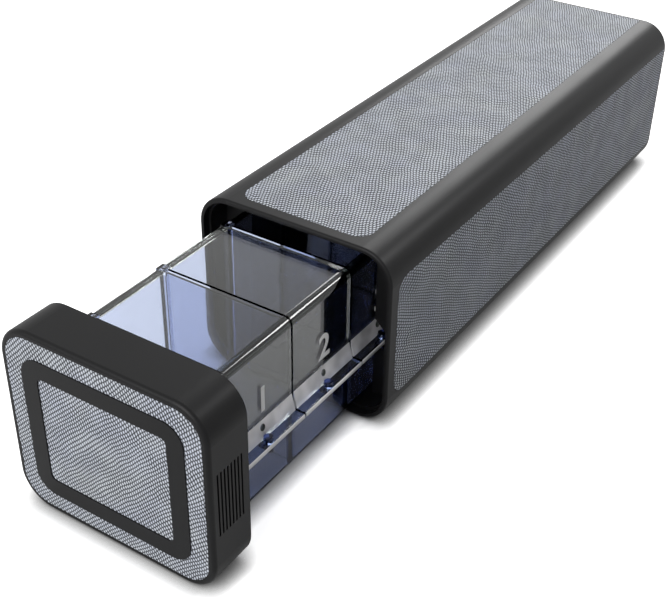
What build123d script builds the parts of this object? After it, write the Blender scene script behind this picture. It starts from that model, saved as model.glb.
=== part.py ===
from build123d import *
import os

# Weekly pill drawer organizer: a rounded sleeve with a long clear drawer of seven lidded compartments.
# Millimetres. X runs across, +Y to the back of the sleeve, +Z up; the drawer pulls out towards -Y.
# The origin is the middle of the sleeve's flat underside.

# Sleeve
sleeve_width = 66.0
sleeve_height = 58.0
sleeve_length = 206.0
sleeve_corner = 10.0
sleeve_wall = 2.2
mouth_wall = 1.4  # the wall is thinned just inside the mouth
mouth_rebate = 2.5
edge_rounding = 0.8
back_bevel = 0.5
back_cover = 2.0

# Textured inlays in the sleeve and the drawer's front
panel_thickness = 0.8
panel_gap = 0.1
top_panel_margin = 11.4  # sleeve side to the top inlay's edge
side_panel_margin = 9.0  # sleeve top or underside to a side inlay's edge
panel_front_margin = 4.0
panel_back_margin = 1.2
panel_front_corner = 5.0
panel_back_corner = 1.0
front_panel_margin = 1.8

# Drawer front
drawer_out = 64.4  # how far the drawer stands open at rest
closing_gap = 0.2  # between the shut drawer front and the sleeve's mouth
front_depth = 14.6
front_inset = 0.2  # the drawer front is this much smaller than the sleeve, all round
front_wall = 2.4
front_rounding = 1.2
backing_thickness = 2.0
ring_thickness = 0.4
ring_margin = 7.1  # drawer front's edge to the ring's outside
ring_width = 5.2
ring_corner = 6.0
ring_inner_corner = 1.8
grip_count = 8
grip_pitch = 1.3
grip_width = 0.6
grip_depth = 0.5
grip_height = 19.5
grip_lift = 0.0  # the grooves' middle, from the drawer front's middle

# Tray of the drawer
compartments = 7
tray_wall = 1.5
tray_side_room = 8.9  # cavity side to the tray
tray_front_room = 2.4  # slot between the wall on the drawer front and the first compartment
tray_end_room = 1.25  # behind the tray when the drawer is shut
tray_headroom = 3.6  # above the lids
tray_bottom_corner = 2.0
low_wall_height = 18.5  # the near wall stops here, under the lids' lips
pocket_corner = 1.5
running_gap = 0.2

# Lids
lid_thickness = 1.4
lid_gap = 0.8  # between two lids
lid_bend = 2.4
lid_seat_gap = 0.2  # between a lid and the tray that it closes on
band_height = 6.8  # the thick lower band of a lid's side, lip included
band_flare = 1.3
lip_reach = 4.4
lip_thickness = 1.4
dimple_radius = 1.0
dimple_depth = 0.35

# Hinges and catches
barrel_radius = 1.3
pin_radius = 0.7
pin_length = 1.2
pin_clearance = 0.05
post_width = 3.0
post_gap = 0.15
catch_radius = 1.3
catch_clearance = 0.15
catch_offset = 2.3  # catch's axis from the tray's side
catch_rise = 1.0  # catch's head above the lip
bracket_thickness = 1.8

# Guides in the sleeve
guide_depth = 10.0  # mouth to the guide plate
guide_thickness = 2.0
guide_clearance = 0.4
fit_gap = 0.05
runner_foot = 0.6
runner_foot_reach = 8.0
runner_height = 7.0
runner_wall = 1.5

# Places that follow from the sizes
mouth = -sleeve_length / 2
back = sleeve_length / 2
cover_face = back - back_cover
cavity_width = sleeve_width - 2 * sleeve_wall
cavity_height = sleeve_height - 2 * sleeve_wall
cavity_corner = sleeve_corner - sleeve_wall
middle = sleeve_height / 2

front_back = mouth - drawer_out  # back of the drawer front
front_face = front_back - front_depth
front_width = sleeve_width - 2 * front_inset
front_height = sleeve_height - 2 * front_inset
front_corner = sleeve_corner - front_inset

tray_side = cavity_width / 2 - tray_side_room
tray_bottom = sleeve_wall + runner_foot + running_gap
lid_top = sleeve_height - sleeve_wall - tray_headroom
lid_under = lid_top - lid_thickness
tray_top = lid_under - lid_seat_gap
low_wall_top = tray_bottom + low_wall_height
tray_length = sleeve_length - back_cover - tray_end_room + closing_gap
first_place = 2 * tray_wall + tray_front_room  # where the first compartment starts, behind the drawer front
pitch = (tray_length - first_place - tray_wall / 2) / compartments

lid_inner = tray_side - lid_thickness
divider_side = lid_inner - lid_seat_gap
lip_bottom = low_wall_top + lid_seat_gap
lip_top = lip_bottom + lip_thickness
lip_edge = tray_side + lip_reach
band_top = lip_bottom + band_height
band_edge = tray_side + band_flare
hinge_x = barrel_radius - tray_side
hinge_z = lid_top - barrel_radius
post_inner = 2 * barrel_radius - tray_side
catch_x = tray_side + catch_offset
catch_top = lip_top + catch_rise
bracket_bottom = low_wall_top - bracket_thickness


def divider_place(number):
    """Distance of a divider's middle behind the drawer front; 0 starts the row and the last is the end wall."""
    return first_place + number * pitch


def profile(*corners):
    """A face square to Y from corners (x, z, rounding radius)."""
    outline = Polygon(*[(x, z) for x, z, _ in corners], align=None)
    for x, z, radius in corners:
        if radius:
            outline = fillet(outline.vertices().sort_by_distance((x, z, 0))[0], radius)
    return Plane.XZ * outline


def along(section, start, length):
    """The section carried along +Y from a start."""
    return Pos(0, start, 0) * extrude(section, amount=length, dir=(0, 1, 0))


def rounded_bar(width, height, corner, start, length):
    """A bar along Y with a rounded rectangular section, on the sleeve's middle line."""
    section = Plane.XZ * (Pos(0, middle) * RectangleRounded(width, height, corner))
    return along(section, start, length)


def block(low, high):
    """A box from its lowest to its highest corner."""
    return Pos(*low) * Box(*[b - a for a, b in zip(low, high)], align=(Align.MIN, Align.MIN, Align.MIN))


def rim(solid, place):
    """The edges round the end of a bar that lies at a given Y."""
    face = solid.faces().filter_by(Plane.XZ).sort_by(lambda f: abs(f.center().Y - place))[0]
    return face.outer_wire().edges()


def inlay_outline(width, gap):
    """An inlay's outline, its length along local Y, front corners round and back corners nearly square."""
    front_end = mouth + panel_front_margin + gap
    back_end = back - panel_back_margin - gap
    side = width / 2 - gap
    outline = Polygon((-side, front_end), (side, front_end), (side, back_end), (-side, back_end), align=None)
    outline = fillet(outline.vertices().group_by(Axis.Y)[0], panel_front_corner)
    return fillet(outline.vertices().group_by(Axis.Y)[-1], panel_back_corner)


def inlay(face_plane, width, gap):
    """An inlay sunk flush into one outer face of the sleeve."""
    return extrude(face_plane * inlay_outline(width, gap), amount=-panel_thickness)


top_face = Plane((0, 0, sleeve_height), x_dir=(1, 0, 0), z_dir=(0, 0, 1))
right_face = Plane((sleeve_width / 2, 0, middle), x_dir=(0, 0, -1), z_dir=(1, 0, 0))
left_face = Plane((-sleeve_width / 2, 0, middle), x_dir=(0, 0, 1), z_dir=(-1, 0, 0))
top_panel_width = sleeve_width - 2 * top_panel_margin
side_panel_width = sleeve_height - 2 * side_panel_margin


def sleeve_shell():
    """The rounded tube with its thinned mouth and the shallow recesses for the three inlays."""
    shell = rounded_bar(sleeve_width, sleeve_height, sleeve_corner, mouth, sleeve_length)
    shell = fillet(rim(shell, mouth), edge_rounding)
    shell = chamfer(rim(shell, back), back_bevel)
    shell -= rounded_bar(cavity_width, cavity_height, cavity_corner, mouth, sleeve_length)
    thinned = 2 * mouth_wall
    shell -= rounded_bar(
        sleeve_width - thinned, sleeve_height - thinned, sleeve_corner - mouth_wall, mouth, mouth_rebate
    )
    shell -= inlay(top_face, top_panel_width, 0)
    shell -= inlay(right_face, side_panel_width, 0)
    shell -= inlay(left_face, side_panel_width, 0)
    return shell


def rear_cover():
    """The plate that closes the back of the sleeve from inside its rim."""
    width = cavity_width - 2 * fit_gap
    height = cavity_height - 2 * fit_gap
    return rounded_bar(width, height, cavity_corner - fit_gap, cover_face, back_cover)


def guide_plate():
    """The plate behind the mouth, cut out for the tray and for the lips and catches at its side."""
    width = cavity_width - 2 * fit_gap
    height = cavity_height - 2 * fit_gap
    plate = rounded_bar(width, height, cavity_corner - fit_gap, mouth + guide_depth, guide_thickness)
    side = tray_side + guide_clearance
    way = profile(
        (-side, 0, 0),
        (side, 0, 0),
        (side, bracket_bottom - guide_clearance, 0),
        (lip_edge + guide_clearance, bracket_bottom - guide_clearance, 0),
        (lip_edge + guide_clearance, catch_top + guide_clearance, 0),
        (side, band_top + guide_clearance, 0),
        (side, lid_top + guide_clearance, lid_bend),
        (-side, lid_top + guide_clearance, guide_clearance),
    )
    return plate - along(way, mouth + guide_depth, guide_thickness)


def runner():
    """An angle on the right of the sleeve's floor: its foot carries the tray, its upright keeps it straight."""
    inner = tray_side - runner_foot_reach
    guide = tray_side + guide_clearance
    outer = guide + runner_wall
    floor = sleeve_wall
    angle = profile(
        (inner, floor, 0),
        (outer, floor, 0),
        (outer, floor + runner_height, runner_wall / 3),
        (guide, floor + runner_height, runner_wall / 3),
        (guide, floor + runner_foot, 0),
        (inner, floor + runner_foot, 0),
    )
    start = mouth + guide_depth + guide_thickness
    length = cover_face - start
    return along(angle, start, length) & rounded_bar(cavity_width, cavity_height, cavity_corner, start, length)


def drawer_front():
    """The hollow front block: sunk face for the inlay, grip grooves in both sides, open at the back."""
    cap = rounded_bar(front_width, front_height, front_corner, front_face, front_depth)
    cap = fillet(rim(cap, front_face), front_rounding)
    inner_width = front_width - 2 * front_wall
    inner_height = front_height - 2 * front_wall
    hollow_start = front_face + front_wall + panel_thickness
    cap -= rounded_bar(
        inner_width, inner_height, front_corner - front_wall, hollow_start, front_back - hollow_start
    )
    cap -= front_inlay(0)
    groove_low = middle + grip_lift - grip_height / 2
    first = (front_face + front_back - (grip_count - 1) * grip_pitch) / 2
    for side in (-1, 1):
        for number in range(grip_count):
            place = Pos(side * front_width / 2, first + number * grip_pitch, groove_low + grip_height / 2)
            cap -= place * Box(2 * grip_depth, grip_width, grip_height)
    return cap


def front_inlay(gap):
    """The textured inlay in the drawer front's face."""
    margin = 2 * (front_panel_margin + gap)
    corner = front_corner - front_panel_margin - gap
    return rounded_bar(front_width - margin, front_height - margin, corner, front_face, panel_thickness)


def front_ring():
    """The flat frame laid on the front inlay."""
    width = front_width - 2 * ring_margin
    height = front_height - 2 * ring_margin
    start = front_face - ring_thickness
    ring = rounded_bar(width, height, ring_corner, start, ring_thickness)
    inside = 2 * ring_width
    ring -= rounded_bar(width - inside, height - inside, ring_inner_corner, start, ring_thickness)
    return ring


def front_backing():
    """The plate inside the back of the drawer front, which the tray is fixed to."""
    inset = 2 * (front_wall + fit_gap)
    corner = front_corner - front_wall - fit_gap
    start = front_back - backing_thickness
    return rounded_bar(front_width - inset, front_height - inset, corner, start, backing_thickness)


def pocket(number):
    """The hollow of one compartment, open at the top and above the low wall at the near side."""
    start = front_back + divider_place(number) + (tray_wall / 2 if number else 0)
    end = front_back + divider_place(number + 1) - tray_wall / 2
    inner = tray_side - tray_wall
    floor = tray_bottom + tray_wall
    hollow = block((-inner, start, floor), (inner, end, lid_top))
    hollow = fillet(hollow.edges().filter_by(Axis.Z), pocket_corner)
    return hollow + block((0, start, low_wall_top), (lip_edge, end, lid_top))


def hinge_post(number):
    """The post on the far wall that holds the pins of the lids on both sides of a divider."""
    middle_y = divider_place(number)
    start = front_back + middle_y - post_width / 2
    end = front_back + min(tray_length, middle_y + post_width / 2)
    return block((-tray_side, start, tray_bottom + tray_wall), (post_inner, end, lid_top))


def catch(number):
    """The bracket and its round knob that a lid's lip snaps over."""
    centre = front_back + (divider_place(number) + divider_place(number + 1)) / 2
    reach = catch_x - tray_side + catch_radius
    bracket = block(
        (tray_side, centre - catch_radius, bracket_bottom), (tray_side + reach, centre + catch_radius, low_wall_top)
    )
    bracket = fillet(bracket.edges().filter_by(Axis.Z).group_by(Axis.X)[-1], catch_radius * 0.95)
    knob = Cylinder(catch_radius, catch_top - low_wall_top, align=(Align.CENTER, Align.CENTER, Align.MIN))
    return bracket + Pos(catch_x, centre, low_wall_top) * knob


def tray():
    """The clear tray: seven pockets in a row, a low near wall, hinge posts and lid catches."""
    section = profile(
        (-tray_side, tray_bottom, tray_bottom_corner),
        (tray_side, tray_bottom, tray_bottom_corner),
        (tray_side, low_wall_top, 0),
        (divider_side, low_wall_top, 0),
        (divider_side, tray_top, lid_bend),
        (-tray_side, tray_top, 0),
    )
    body = along(section, front_back, tray_length)
    end_wall = profile(
        (-tray_side, tray_bottom, tray_bottom_corner),
        (tray_side, tray_bottom, tray_bottom_corner),
        (tray_side, lid_top, lid_bend),
        (-tray_side, lid_top, 0),
    )
    body += along(end_wall, front_back, first_place)
    slot_start = front_back + tray_wall
    slot_side = tray_side - tray_wall
    body -= block(
        (-slot_side, slot_start, tray_bottom + tray_wall), (slot_side, slot_start + tray_front_room, lid_top)
    )
    far_wall_top = hinge_z - barrel_radius - lid_seat_gap
    for number in range(compartments):
        body -= pocket(number)
        bay_start = front_back + divider_place(number)
        body -= block(
            (-tray_side, bay_start, far_wall_top), (post_inner + post_gap, bay_start + pitch, tray_top)
        )
    for number in range(compartments + 1):
        body += hinge_post(number)
    for number in range(compartments):
        body += catch(number)
        body -= pin(number, pin_radius + pin_clearance, pin_length + pin_clearance)
    return body


def barrel_length():
    """A lid's hinge barrel fills the room between two posts."""
    return pitch - post_width - 2 * post_gap


def pin(number, radius, length):
    """The pins at both ends of a lid's barrel, as one bar."""
    centre = front_back + divider_place(number) + pitch / 2
    bar = Rot(90, 0, 0) * Cylinder(radius, barrel_length() + 2 * (length + post_gap))
    return Pos(hinge_x, centre, hinge_z) * bar


def lid(number):
    """One clear lid: flat top, side with a thick flared band and a lip, and the hinge barrel with its pins."""
    section = profile(
        (post_inner + post_gap, lid_top, 0),
        (tray_side, lid_top, lid_bend),
        (tray_side, band_top, 0),
        (band_edge, lip_top, 0),
        (lip_edge, lip_top, lip_thickness / 4),
        (lip_edge, lip_bottom, lip_thickness / 4),
        (lid_inner, lip_bottom, 0),
        (lid_inner, lid_under, lid_bend - lid_thickness),
        (post_inner + post_gap, lid_under, 0),
    )
    start = front_back + divider_place(number) + lid_gap / 2
    centre = start + pitch / 2 - lid_gap / 2
    body = along(section, start, pitch - lid_gap)
    leaf_start = centre - barrel_length() / 2
    leaf_end = centre + barrel_length() / 2
    body += block((hinge_x, leaf_start, lid_under), (post_inner + post_gap, leaf_end, lid_top))
    barrel = Rot(90, 0, 0) * Cylinder(barrel_radius, barrel_length())
    body += Pos(hinge_x, centre, hinge_z) * barrel
    body += pin(number, pin_radius, pin_length)
    hole_height = band_height + catch_rise
    hole = Cylinder(catch_radius + catch_clearance, hole_height, align=(Align.CENTER, Align.CENTER, Align.MIN))
    body -= Pos(catch_x, centre, lip_bottom) * hole
    dimple_z = (lip_top + band_top) / 2 + dimple_radius / 2
    dimple_x = tray_side + band_flare * (band_top - dimple_z) / (band_top - lip_top)
    dimple = Rot(0, 90, 0) * Cylinder(dimple_radius, 2 * dimple_depth)
    body -= Pos(dimple_x, centre, dimple_z) * dimple
    return body


nodes = {
    "sleeve_shell": sleeve_shell(),
    "sleeve_rear_cover": rear_cover(),
    "sleeve_guide_plate": guide_plate(),
    "drawer_runner_right": runner(),
    "drawer_runner_left": mirror(runner(), about=Plane.YZ),
    "top_inlay": inlay(top_face, top_panel_width, panel_gap),
    "right_inlay": inlay(right_face, side_panel_width, panel_gap),
    "left_inlay": inlay(left_face, side_panel_width, panel_gap),
    "drawer_front": drawer_front(),
    "drawer_front_inlay": front_inlay(panel_gap),
    "drawer_front_ring": front_ring(),
    "drawer_front_backing": front_backing(),
    "drawer_tray": tray(),
}
for number in range(compartments):
    nodes[f"lid_{number + 1}"] = lid(number)

os.makedirs("parts", exist_ok=True)
for name, shape in nodes.items():
    export_step(shape, f"parts/{name}.step")
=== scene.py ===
"""Dresses the weekly pill drawer organizer with its finishes, printed numbers and studio."""

import math

import bpy
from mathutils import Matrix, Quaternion, Vector


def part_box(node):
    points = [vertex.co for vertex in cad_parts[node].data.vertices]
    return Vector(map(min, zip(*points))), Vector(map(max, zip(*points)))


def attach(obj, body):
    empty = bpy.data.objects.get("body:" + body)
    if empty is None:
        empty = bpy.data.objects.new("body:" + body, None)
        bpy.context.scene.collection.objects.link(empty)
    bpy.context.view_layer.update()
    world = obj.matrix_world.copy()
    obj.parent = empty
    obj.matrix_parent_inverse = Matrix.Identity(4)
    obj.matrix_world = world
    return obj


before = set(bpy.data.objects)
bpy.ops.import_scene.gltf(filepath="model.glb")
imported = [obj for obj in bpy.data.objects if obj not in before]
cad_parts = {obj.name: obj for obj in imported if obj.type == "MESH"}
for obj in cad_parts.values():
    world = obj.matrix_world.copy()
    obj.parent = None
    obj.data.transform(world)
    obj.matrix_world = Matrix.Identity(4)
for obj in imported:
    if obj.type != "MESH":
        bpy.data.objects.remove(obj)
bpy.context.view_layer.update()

bl_info = {
    "name": "Pill drawer organizer finishes",
    "version": (1, 0, 0),
    "blender": (4, 5, 0),
    "location": "3D View > Sidebar > Organizer",
    "description": "Moulded, woven and clear finishes, printed numbers and a studio for the organizer",
    "category": "Object",
}

MM = 0.001
DAYS = 7
LIDS = [f"lid_{number}" for number in range(1, DAYS + 1)]
BLACK = (0.0, 0.0, 0.0, 1.0)
WHITE = (1.0, 1.0, 1.0, 1.0)
PLASTIC_IOR = 1.49

# Sizes of a lid, in metres
lip_thickness = 1.4 * MM
band_height = 6.8 * MM  # the thick band at the foot of a lid's side, lip included
bend_radius = 2.4 * MM
dot_radius = 1.0 * MM

# Places of the lids, in metres, from the frame
lid_low, lid_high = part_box("lid_1")
next_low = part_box("lid_2")[0]
tray_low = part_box("drawer_tray")[0]
lid_middle = (lid_low.y + lid_high.y) / 2
lid_pitch = next_low.y - lid_low.y
lid_side = -tray_low.x  # outer face of the lids' near side, flush with the tray's near wall
lid_top = lid_high.z
lip_edge = lid_high.x
lip_top = lid_low.z + lip_thickness
band_top = lid_low.z + band_height
dot_height = (lip_top + band_top + dot_radius) / 2


# Shader expressions


class Value:
    """A socket's output that can stand in an expression: each operation adds its Math node."""

    def __init__(self, finish, socket):
        self.finish = finish
        self.socket = socket

    def math(self, operation, *others, turned=False):
        """The Math node's result; turned puts this value last."""
        terms = [self, *others]
        if turned:
            terms.reverse()
        return self.finish.add("Math", {"operation": operation}, dict(enumerate(terms)))

    def __add__(self, other):
        return self.math("ADD", other)

    def __sub__(self, other):
        return self.math("SUBTRACT", other)

    def __rsub__(self, other):
        return self.math("SUBTRACT", other, turned=True)

    def __mul__(self, other):
        return self.math("MULTIPLY", other)

    def __truediv__(self, other):
        return self.math("DIVIDE", other)

    def __gt__(self, other):
        return self.math("GREATER_THAN", other)

    def __lt__(self, other):
        return self.math("LESS_THAN", other)

    __radd__ = __add__
    __rmul__ = __mul__


class Finish:
    """A node tree in the making, for a material or the world."""

    def __init__(self, holder):
        holder.use_nodes = True
        self.tree = holder.node_tree
        self.tree.nodes.clear()

    def add(self, kind, settings=None, sockets=None, output=0):
        """Adds a node: its settings first, then the values or links of its sockets."""
        node = self.tree.nodes.new("ShaderNode" + kind)
        for name, value in (settings or {}).items():
            setattr(node, name, value)
        for name, value in (sockets or {}).items():
            if isinstance(value, Value):
                self.tree.links.new(value.socket, node.inputs[name])
            else:
                node.inputs[name].default_value = value
        if node.outputs:
            return Value(self, node.outputs[output])
        return None

    def place(self):
        """The surface point in the object's own coordinates, in metres."""
        return self.add("TexCoord", output="Object")

    def axes(self, vector):
        """A vector's three numbers."""
        split = self.add("SeparateXYZ", sockets={"Vector": vector}).socket.node
        return [Value(self, output) for output in split.outputs]

    def noise(self, place, size, detail=2.0, output="Fac"):
        """Soft random values whose patches are about size metres wide."""
        sockets = {"Vector": place, "Scale": 1 / size, "Detail": detail, "Roughness": 0.5}
        return self.add("TexNoise", sockets=sockets, output=output)

    def mix_colours(self, factor, first, second):
        """A colour between two colours, which are the Mix node's sockets 6 and 7, its result output 2."""
        settings = {"data_type": "RGBA", "clamp_factor": True}
        return self.add("Mix", settings, {0: factor, 6: first, 7: second}, output=2)

    def mix_surfaces(self, factor, first, second):
        """The first surface where the factor is 0, the second where it is 1."""
        return self.add("MixShader", sockets={0: factor, 1: first, 2: second})

    def bump(self, height, depth, strength):
        """Turns a height from 0 to 1 into a surface normal; depth in metres."""
        sockets = {"Height": height, "Distance": depth, "Strength": strength}
        return self.add("Bump", sockets=sockets)

    def end(self, surface, volume=None):
        """Ends a material's tree with its output."""
        sockets = {"Surface": surface}
        if volume:
            sockets["Volume"] = volume
        self.add("OutputMaterial", sockets=sockets)


def new_material(name):
    """A material with an empty tree, and the tree to fill."""
    material = bpy.data.materials.new(name)
    return material, Finish(material)


def rgba(colour):
    """A colour with its opacity of 1."""
    return (*colour, 1.0)


def grey(shade):
    """A neutral colour: 0 is black, 1 white."""
    return (shade, shade, shade, 1.0)


# Settings


class FinishColours(bpy.types.PropertyGroup):
    """Colours and gloss of the organizer's materials."""

    black: bpy.props.FloatVectorProperty(
        name="Black plastic", description="Colour of the moulded black parts",
        default=(0.008, 0.008, 0.0085), subtype="COLOR", min=0, max=1,
    )
    black_roughness: bpy.props.FloatProperty(
        name="Black roughness", description="Roughness of the moulded black parts",
        default=0.38, min=0, max=1, subtype="FACTOR",
    )
    thread_light: bpy.props.FloatVectorProperty(
        name="Inlay ridges", description="Colour of the inlay's raised dashes",
        default=(0.70, 0.74, 0.78), subtype="COLOR", min=0, max=1,
    )
    thread_blue: bpy.props.FloatVectorProperty(
        name="Blue ridges", description="Colour of the raised dashes in the inlay's cooler patches",
        default=(0.65, 0.69, 0.80), subtype="COLOR", min=0, max=1,
    )
    thread_dark: bpy.props.FloatVectorProperty(
        name="Inlay furrows", description="Colour between the inlay's dashes",
        default=(0.034, 0.036, 0.041), subtype="COLOR", min=0, max=1,
    )
    tray_tint: bpy.props.FloatVectorProperty(
        name="Tray tint", description="Colour that the tray's plastic lets through",
        default=(0.085, 0.23, 0.62), subtype="COLOR", min=0, max=1,
    )
    tray_density: bpy.props.FloatProperty(
        name="Tray density", description="How strongly a metre of the tray's plastic absorbs light",
        default=400.0, min=0,
    )
    catch_tint: bpy.props.FloatVectorProperty(
        name="Catch tint", description="Colour that the tray's round catches let through",
        default=(0.16, 0.20, 0.32), subtype="COLOR", min=0, max=1,
    )
    lid_tint: bpy.props.FloatVectorProperty(
        name="Lid tint", description="Colour that the lids' plastic lets through",
        default=(0.30, 0.35, 0.33), subtype="COLOR", min=0, max=1,
    )
    lid_density: bpy.props.FloatProperty(
        name="Lid density", description="How strongly a metre of the lids' plastic absorbs light",
        default=210.0, min=0,
    )
    # Painted shade: this dark colour on the lids' rounded edge stands in for how dark the bend looks, not
    # a tint of the plastic.
    bend_tint: bpy.props.FloatVectorProperty(
        name="Bend tint", description="Colour that the lids' rounded edge lets through",
        default=(0.030, 0.035, 0.032), subtype="COLOR", min=0, max=1,
    )
    ledge_tint: bpy.props.FloatVectorProperty(
        name="Lip tint", description="Colour that the lips round the catches let through",
        default=(0.36, 0.46, 0.78), subtype="COLOR", min=0, max=1,
    )
    # Painted highlight: this white on the lids' band above the lip and on the lip's edge stands in for
    # reflected light.
    frost: bpy.props.FloatVectorProperty(
        name="Painted highlight", description="Colour of the lids' frosted band and lip edge",
        default=(0.94, 0.93, 0.95), subtype="COLOR", min=0, max=1,
    )
    print_white: bpy.props.FloatVectorProperty(
        name="Print", description="Colour of the printed numbers",
        default=(0.94, 0.94, 0.94), subtype="COLOR", min=0, max=1,
    )


class NumberSizes(bpy.types.PropertyGroup):
    """Sizes and places of the numbers printed on the lids."""

    height: bpy.props.FloatProperty(
        name="Height", description="Height of a printed number", default=8.0 * MM, unit="LENGTH",
    )
    thickness: bpy.props.FloatProperty(
        name="Thickness", description="How far the print stands proud of the lid",
        default=0.08 * MM, unit="LENGTH",
    )
    lift: bpy.props.FloatProperty(
        name="Lift", description="Middle of the number above the sleeve's underside",
        default=34.8 * MM, unit="LENGTH",
    )
    shift: bpy.props.FloatProperty(
        name="Shift", description="From the lid's middle to the number's middle, to the back",
        default=1.0 * MM, unit="LENGTH",
    )


class StudioSettings(bpy.types.PropertyGroup):
    """Camera and light of the studio."""

    target: bpy.props.FloatVectorProperty(
        name="Target", description="Point that the camera looks at",
        default=(8.5 * MM, -93.1 * MM, 30.1 * MM), subtype="TRANSLATION", unit="LENGTH",
    )
    distance: bpy.props.FloatProperty(
        name="Distance", description="Camera to target", default=0.35, unit="LENGTH",
    )
    azimuth: bpy.props.FloatProperty(
        name="Azimuth", description="Camera's turn round the object, from the front to the right",
        default=math.radians(32.84), unit="ROTATION",
    )
    elevation: bpy.props.FloatProperty(
        name="Elevation", description="Camera's angle above the floor",
        default=math.radians(34.02), unit="ROTATION",
    )
    roll: bpy.props.FloatProperty(
        name="Roll", description="Camera's turn about its own line of sight",
        default=math.radians(1.02), unit="ROTATION",
    )
    lens: bpy.props.FloatProperty(
        name="Lens", description="Focal length on a 36 mm sensor", default=64.19, unit="CAMERA",
    )
    sky: bpy.props.FloatProperty(
        name="Sky", description="Strength of the even light from all round", default=0.20, min=0,
    )
    key: bpy.props.FloatProperty(
        name="Key", description="Radiance of the large soft lamp above the front", default=5.6, min=0,
    )
    rim: bpy.props.FloatProperty(
        name="Rim", description="Radiance of the soft lamp behind the sleeve", default=7.6, min=0,
    )
    edge: bpy.props.FloatProperty(
        name="Edge", description="Radiance of the small soft lamp that draws the lids' edge",
        default=22.0, min=0,
    )


# Finishes


def black_plastic(name, colours):
    """Moulded black plastic with a fine spark-eroded grain."""
    material, finish = new_material(name)
    place = finish.place()
    grain = finish.noise(place, size=0.35 * MM, detail=3)
    cloud = finish.noise(place, size=14 * MM)
    black = colours.black
    lighter = [shade * 1.25 for shade in black]
    # Noise is about 0.5 on average, so the set roughness stays the middle one
    roughness = colours.black_roughness - 0.05 + cloud * 0.06 + grain * 0.05
    surface = finish.add("BsdfPrincipled", sockets={
        "Base Color": finish.mix_colours(cloud, rgba(black), rgba(lighter)),
        "Roughness": roughness,
        "Specular IOR Level": 0.13,
        "Normal": finish.bump(grain, depth=0.03 * MM, strength=0.35),
    })
    finish.end(surface)
    return material


def woven_inlay(name, colours, plane, row_angle, row_pitch, dash_angle, dash_pitch):
    """Embossed cross-hatch: wavy rows of short raised dashes. plane names the two axes it lies in."""
    drift = 1.8  # rows or dashes that the slow waves shift the pattern by, at most
    shiver = 0.45  # the same for the quick waves
    ridge_fullness = 0.8  # under 1, ridges are broader and furrows narrower
    gap_depth = 0.95  # share of a ridge's height that is gone between two dashes, at most
    contrast = 1.25
    furrow_level = 0.11

    material, finish = new_material(name)
    place = finish.place()
    axes = dict(zip("XYZ", finish.axes(place)))
    across = axes[plane[0]]
    along = axes[plane[1]]
    slow = finish.axes(finish.noise(place, size=13 * MM, output="Color"))
    quick = finish.axes(finish.noise(place, size=4 * MM, output="Color"))

    def count(angle, pitch, slow_wave, quick_wave):
        """Number of rows or dashes up to this point, in a direction of the plane."""
        way = across * (math.cos(angle) / pitch) + along * (math.sin(angle) / pitch)
        return way + slow_wave * drift + quick_wave * shiver

    rows = count(math.radians(row_angle), row_pitch, slow[0], quick[0])
    row = rows.math("FLOOR")
    ridge = (rows.math("FRACT") * math.pi).math("SINE")
    stagger = finish.add("TexWhiteNoise", {"noise_dimensions": "1D"}, {"W": row})
    dashes = count(math.radians(dash_angle), dash_pitch, slow[1], quick[1]) + stagger
    gap = (dashes * (2 * math.pi)).math("COSINE") * 0.5 + 0.5
    patch = finish.noise(place, size=7 * MM, detail=1)
    worn = finish.add("MapRange", sockets={
        "Value": patch, "From Min": 0.35, "From Max": 0.62, "To Min": 0.8, "To Max": 1.0,
    })
    height = ridge.math("POWER", ridge_fullness) * (1 - gap * worn * gap_depth)
    tone = height * contrast - furrow_level
    coolness = slow[1] * 2 - 0.5
    light = finish.mix_colours(coolness, rgba(colours.thread_light), rgba(colours.thread_blue))
    surface = finish.add("BsdfPrincipled", sockets={
        "Base Color": finish.mix_colours(tone, rgba(colours.thread_dark), light),
        "Roughness": 0.62 - height * 0.12,
        "Specular IOR Level": 0.12,
        "Normal": finish.bump(height, depth=0.10 * MM, strength=0.5),
    })
    finish.end(surface)
    return material


def clear_surface(finish, place, colour, roughness):
    """Polished clear plastic with faint flow marks."""
    flow = finish.noise(place, size=9 * MM, detail=1)
    fine = finish.noise(place, size=1.2 * MM)
    return finish.add("BsdfPrincipled", sockets={
        "Base Color": colour,
        "Roughness": roughness + fine * 0.02,
        "IOR": PLASTIC_IOR,
        "Specular IOR Level": 0.3,
        "Transmission Weight": 1.0,
        "Normal": finish.bump(flow, depth=0.05 * MM, strength=0.25),
    })


def tinted_inside(finish, tint, density):
    """Plastic that takes light away through its thickness."""
    return finish.add("VolumeAbsorption", sockets={"Color": rgba(tint), "Density": density})


def clear_tray(name, colours):
    """Clear blue plastic, tinted through its thickness and darker on the catches beside the lids."""
    catch_start = 0.2 * MM  # the catches' tint starts this far outside the near wall
    material, finish = new_material(name)
    place = finish.place()
    catch = finish.axes(place)[0] > lid_side + catch_start
    polish = finish.mix_colours(catch, WHITE, rgba(colours.catch_tint))
    surface = clear_surface(finish, place, polish, roughness=0.02)
    finish.end(surface, tinted_inside(finish, colours.tray_tint, colours.tray_density))
    return material


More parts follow.
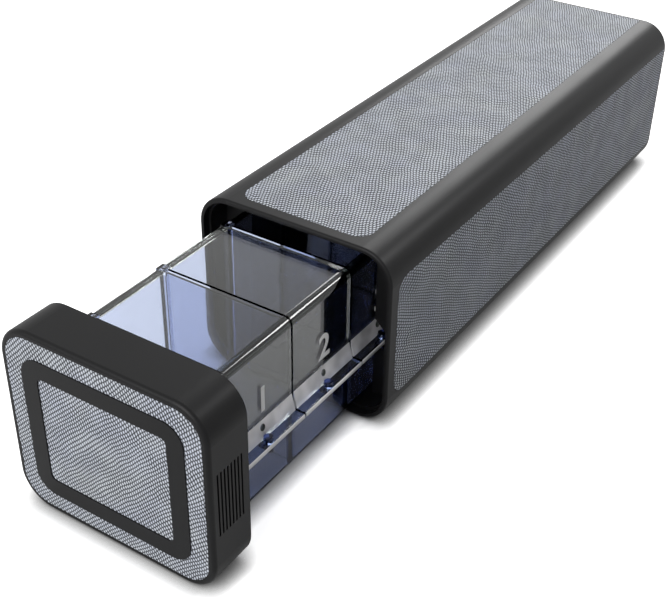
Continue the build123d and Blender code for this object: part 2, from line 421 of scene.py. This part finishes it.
def clear_lids(name, colours):
    """Clear plastic: painted shade on the bend, a bluish lip, a painted highlight on the band and the lip
    edge, a dark dot in the band.
    """
    skin = 0.04 * MM  # the band's and lip's looks start this far outside the lids' near side
    lip_reach = 0.08 * MM  # the lip's tint ends this far above the lip
    highlight_rim_width = 0.30 * MM  # painted highlight along the lip's edge
    dark_dot_colour = (0.10, 0.11, 0.10, 1.0)

    material, finish = new_material(name)
    place = finish.place()
    x, y, z = finish.axes(place)
    outside = x > lid_side + skin
    # Painted shade on the lids' rounded edge: what the bend lets through is darkened.
    bend = (x > lid_side - bend_radius) * (z > lid_top - bend_radius)
    ledge = outside * (z < lip_top + lip_reach)
    polish = finish.mix_colours(bend, WHITE, rgba(colours.bend_tint))
    polish = finish.mix_colours(ledge, polish, rgba(colours.ledge_tint))
    clear = clear_surface(finish, place, polish, roughness=0.015)

    # Painted highlight: the white band above the lip and the white lip edge, mixed over the clear plastic,
    # stand in for light reflected there.
    band = outside * (z > lip_top + lip_reach) * (z < band_top)
    rim = x > lip_edge - highlight_rim_width
    # From the middle of the nearest lid, as a share of the pitch
    # A dark round dot in the band of each lid, given by colour alone.
    along = ((y - lid_middle) / lid_pitch + 0.5).math("FRACT") - 0.5
    off_centre = (along * lid_pitch).math("POWER", 2) + (z - dot_height).math("POWER", 2)
    dark_dot = off_centre < dot_radius**2
    haze = finish.noise(place, size=6 * MM, detail=1)
    duller = [shade * 0.80 for shade in colours.frost]
    highlight_colour = finish.mix_colours(haze * 3 - 1, rgba(duller), rgba(colours.frost))
    highlight_colour = finish.mix_colours(dark_dot, highlight_colour, dark_dot_colour)
    highlighted = finish.add("BsdfPrincipled", sockets={
        "Base Color": highlight_colour,
        "Roughness": 0.22 + haze * 0.2,
        "IOR": PLASTIC_IOR,
    })
    cover = (band * (0.5 + haze * 0.7)).math("MAXIMUM", rim).math("MINIMUM", 1.0)
    surface = finish.mix_surfaces(cover, clear, highlighted)
    finish.end(surface, tinted_inside(finish, colours.lid_tint, colours.lid_density))
    return material


def white_print(name, colours):
    """Screen-printed white, slightly uneven."""
    material, finish = new_material(name)
    speck = finish.noise(finish.place(), size=0.4 * MM, detail=3)
    white = colours.print_white
    duller = [shade * 0.93 for shade in white]
    surface = finish.add("BsdfPrincipled", sockets={
        "Base Color": finish.mix_colours(speck, rgba(duller), rgba(white)),
        "Roughness": 0.5 + speck * 0.1,
        "Normal": finish.bump(speck, depth=0.01 * MM, strength=0.3),
    })
    finish.end(surface)
    return material


def dress(names, material):
    """Puts one material on every slot of the named CAD nodes."""
    for name in names:
        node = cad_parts[name]
        if not node.material_slots:
            node.data.materials.append(material)
        for slot in node.material_slots:
            slot.material = material


def deselect():
    """Leaves nothing selected, so that the next operator acts on its own new object alone."""
    bpy.ops.object.select_all(action="DESELECT")


# Operators


class ORGANIZER_OT_finish_black(bpy.types.Operator):
    """Give the sleeve, its hidden guides and the drawer front their black plastic"""

    bl_idname = "organizer.finish_black"
    bl_label = "Black plastic"

    def execute(self, context):
        colours = context.scene.organizer_colours
        outer = ["sleeve_shell", "drawer_front"]
        inner = [
            "sleeve_rear_cover", "sleeve_guide_plate", "drawer_runner_right", "drawer_runner_left",
            "drawer_front_ring", "drawer_front_backing",
        ]
        dress(outer, black_plastic("black plastic", colours))
        dress(inner, black_plastic("black trim", colours))
        return {"FINISHED"}


class ORGANIZER_OT_finish_inlays(bpy.types.Operator):
    """Give the four inlays their embossed cross-hatch"""

    bl_idname = "organizer.finish_inlays"
    bl_label = "Woven inlays"

    def execute(self, context):
        colours = context.scene.organizer_colours
        top = woven_inlay(
            "woven top", colours, plane="XY",
            row_angle=26, row_pitch=0.90 * MM, dash_angle=-28, dash_pitch=1.0 * MM,
        )
        side = woven_inlay(
            "woven side", colours, plane="YZ",
            row_angle=62, row_pitch=0.84 * MM, dash_angle=-31, dash_pitch=1.45 * MM,
        )
        front = woven_inlay(
            "woven front", colours, plane="XZ",
            row_angle=-46, row_pitch=0.98 * MM, dash_angle=22, dash_pitch=0.90 * MM,
        )
        dress(["top_inlay"], top)
        dress(["right_inlay", "left_inlay"], side)
        dress(["drawer_front_inlay"], front)
        return {"FINISHED"}


class ORGANIZER_OT_finish_drawer(bpy.types.Operator):
    """Give the tray and the seven lids their clear plastics"""

    bl_idname = "organizer.finish_drawer"
    bl_label = "Clear tray and lids"

    def execute(self, context):
        colours = context.scene.organizer_colours
        dress(["drawer_tray"], clear_tray("clear blue", colours))
        dress(LIDS, clear_lids("clear lid", colours))
        return {"FINISHED"}


class ORGANIZER_OT_print_numbers(bpy.types.Operator):
    """Print a plain number on the near side of each lid"""

    bl_idname = "organizer.print_numbers"
    bl_label = "Printed numbers"

    def execute(self, context):
        sizes = context.scene.organizer_numbers
        ink = white_print("white print", context.scene.organizer_colours)
        for day in range(1, DAYS + 1):
            low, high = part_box(f"lid_{day}")
            middle = (low.y + high.y) / 2 + sizes.shift
            number = printed_number(day, sizes, Vector((lid_side, middle, sizes.lift)))
            number.data.materials.append(ink)
            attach(number, "drawer")
        return {"FINISHED"}


def printed_number(day, sizes, middle):
    """A flat number facing +X that reads towards the back; it stands on the lid's near side."""
    deselect()
    bpy.ops.object.text_add()
    number = bpy.context.object
    number.name = f"number_{day}"
    number.data.body = str(day)
    number.data.extrude = 0.5  # to both sides, so the text is 1 deep before it is scaled
    number.data.offset = 0.018  # bolder strokes
    number.data.resolution_u = 6
    bpy.ops.object.convert(target="MESH")
    bpy.ops.object.origin_set(type="ORIGIN_GEOMETRY", center="BOUNDS")
    scale = sizes.height / number.dimensions.y
    number.scale = (scale, scale, sizes.thickness)
    number.rotation_euler = (math.pi / 2, 0, math.pi / 2)
    number.location = middle + Vector((sizes.thickness / 2, 0, 0))
    bpy.ops.object.transform_apply(location=True, rotation=True, scale=True)
    return number


class ORGANIZER_OT_set_stage(bpy.types.Operator):
    """Set the pale floor, the soft lamps, the sky and the camera"""

    bl_idname = "organizer.set_stage"
    bl_label = "Studio"

    def execute(self, context):
        studio = context.scene.organizer_studio
        middle = Vector(studio.target)
        lid_edge = Vector((lid_side, lid_high.y, lid_top))
        above_front = Vector((-0.10, -0.85, 0.51))
        behind = Vector((-0.21, 0.84, 0.50))
        behind_right = Vector((0.468, 0.677, 0.567))
        clear_bounces = 24  # light passes through many clear walls in a row
        add_floor()
        add_sky(context.scene, studio.sky)
        add_lamp("key lamp", middle, above_front, distance=0.9, size=0.7, radiance=studio.key)
        add_lamp("rim lamp", middle, behind, distance=1.6, size=0.72, radiance=studio.rim)
        add_lamp("edge lamp", lid_edge, behind_right, distance=0.9, size=0.16, radiance=studio.edge)
        add_camera(context.scene, studio)
        context.scene.view_settings.view_transform = "Standard"
        context.scene.cycles.max_bounces = clear_bounces
        context.scene.cycles.transmission_bounces = clear_bounces
        return {"FINISHED"}


def on_rays(finish, kind):
    """1 on rays of one kind, Camera, Glossy or Transmission, and 0 on the others."""
    return finish.add("LightPath", output=f"Is {kind} Ray")


def when_seen(finish):
    """1 on rays from the camera, from a gloss or through clear plastic, and 0 on dull surfaces' rays."""
    straight = on_rays(finish, "Camera")
    in_gloss = on_rays(finish, "Glossy")
    through_clear = on_rays(finish, "Transmission")
    return straight.math("MAXIMUM", in_gloss).math("MAXIMUM", through_clear)


def add_floor():
    """A wide white floor that keeps shadows, has painted contact shade where the object touches and
    bounces little.
    """
    floor_width = 6.0
    contact_reach = 6 * MM  # how near the object has to be for the painted contact shade
    paper_shade = 0.93
    bounce_shade = 0.20
    near_glow = 0.75  # within about 0.3 m of the middle; it rises to 1 at 1 m

    deselect()
    bpy.ops.mesh.primitive_plane_add(size=floor_width)
    floor = bpy.context.object
    floor.name = "floor"
    material, finish = new_material("white floor")
    # Ambient occlusion darkens the paper's colour and the glow near the object: painted contact shade,
    # besides the lamps' real shadows.
    openness = finish.add("AmbientOcclusion", {"samples": 8}, {"Distance": contact_reach}, output="AO")
    from_middle = finish.add("VectorMath", {"operation": "LENGTH"}, {0: finish.place()}, output="Value")
    backdrop = finish.mix_colours(from_middle * 1.4 - 0.4, grey(near_glow), WHITE)
    # A ray through clear plastic counts as glossy too, and still sees the glow
    mirrored = on_rays(finish, "Glossy") * (1 - on_rays(finish, "Transmission"))
    shine = finish.mix_colours(openness.math("POWER", 3) * (1 - mirrored), BLACK, backdrop)
    paper = finish.add("BsdfDiffuse", sockets={
        "Color": finish.mix_colours(openness, BLACK, grey(paper_shade)),
    })
    glow = finish.add("Emission", sockets={"Color": shine, "Strength": 1.0})
    lit = finish.add("AddShader", sockets={0: paper, 1: glow})
    dull = finish.add("BsdfDiffuse", sockets={"Color": grey(bounce_shade)})
    top = finish.mix_surfaces(when_seen(finish), dull, lit)
    underneath = finish.add("NewGeometry", output="Backfacing")
    nothing = finish.add("BsdfTransparent")
    finish.end(finish.mix_surfaces(underneath, top, nothing))
    floor.data.materials.append(material)


def add_sky(scene, strength):
    """White where it is seen, and an even soft light otherwise."""
    scene.world = bpy.data.worlds.new("studio sky")
    finish = Finish(scene.world)
    sky = finish.add("Background", sockets={
        "Color": WHITE, "Strength": when_seen(finish) * (1.0 - strength) + strength,
    })
    finish.add("OutputWorld", sockets={"Surface": sky})


def add_lamp(name, aim, direction, distance, size, radiance):
    """A square soft lamp that faces the aim; radiance 1 looks white."""
    place = aim + direction.normalized() * distance
    bpy.ops.object.light_add(type="AREA", location=place)
    lamp = bpy.context.object
    lamp.name = name
    lamp.rotation_euler = (aim - place).to_track_quat("-Z", "Y").to_euler()
    lamp.data.size = size
    lamp.data.energy = radiance * math.pi * size**2


def add_camera(scene, studio):
    """The camera at the photograph's angle."""
    outward = Vector((
        math.sin(studio.azimuth) * math.cos(studio.elevation),
        -math.cos(studio.azimuth) * math.cos(studio.elevation),
        math.sin(studio.elevation),
    ))
    bpy.ops.object.camera_add(location=Vector(studio.target) + outward * studio.distance)
    camera = bpy.context.object
    facing = (-outward).to_track_quat("-Z", "Y") @ Quaternion((0, 0, 1), studio.roll)
    camera.rotation_euler = facing.to_euler()
    camera.data.lens = studio.lens
    camera.data.clip_start = 0.01
    scene.camera = camera


STEPS = (
    ORGANIZER_OT_finish_black,
    ORGANIZER_OT_finish_inlays,
    ORGANIZER_OT_finish_drawer,
    ORGANIZER_OT_print_numbers,
    ORGANIZER_OT_set_stage,
)


class ORGANIZER_PT_steps(bpy.types.Panel):
    """Lists the organizer's steps and settings in the sidebar"""

    bl_idname = "ORGANIZER_PT_steps"
    bl_label = "Pill drawer organizer"
    bl_space_type = "VIEW_3D"
    bl_region_type = "UI"
    bl_category = "Organizer"

    def draw(self, context):
        for step in STEPS:
            self.layout.operator(step.bl_idname)
        for group in SETTINGS:
            holder = getattr(context.scene, group)
            box = self.layout.box()
            for name in holder.__annotations__:
                box.prop(holder, name)


SETTINGS = {
    "organizer_colours": FinishColours,
    "organizer_numbers": NumberSizes,
    "organizer_studio": StudioSettings,
}
CLASSES = (*SETTINGS.values(), *STEPS, ORGANIZER_PT_steps)


def register():
    for item in CLASSES:
        bpy.utils.register_class(item)
    for name, group in SETTINGS.items():
        setattr(bpy.types.Scene, name, bpy.props.PointerProperty(type=group))


def unregister():
    for name in SETTINGS:
        delattr(bpy.types.Scene, name)
    for item in reversed(CLASSES):
        bpy.utils.unregister_class(item)


def main():
    """Dresses the organizer step by step."""
    register()
    bpy.ops.organizer.finish_black()
    bpy.ops.organizer.finish_inlays()
    bpy.ops.organizer.finish_drawer()
    bpy.ops.organizer.print_numbers()
    bpy.ops.organizer.set_stage()


if __name__ == "__main__":
    main()
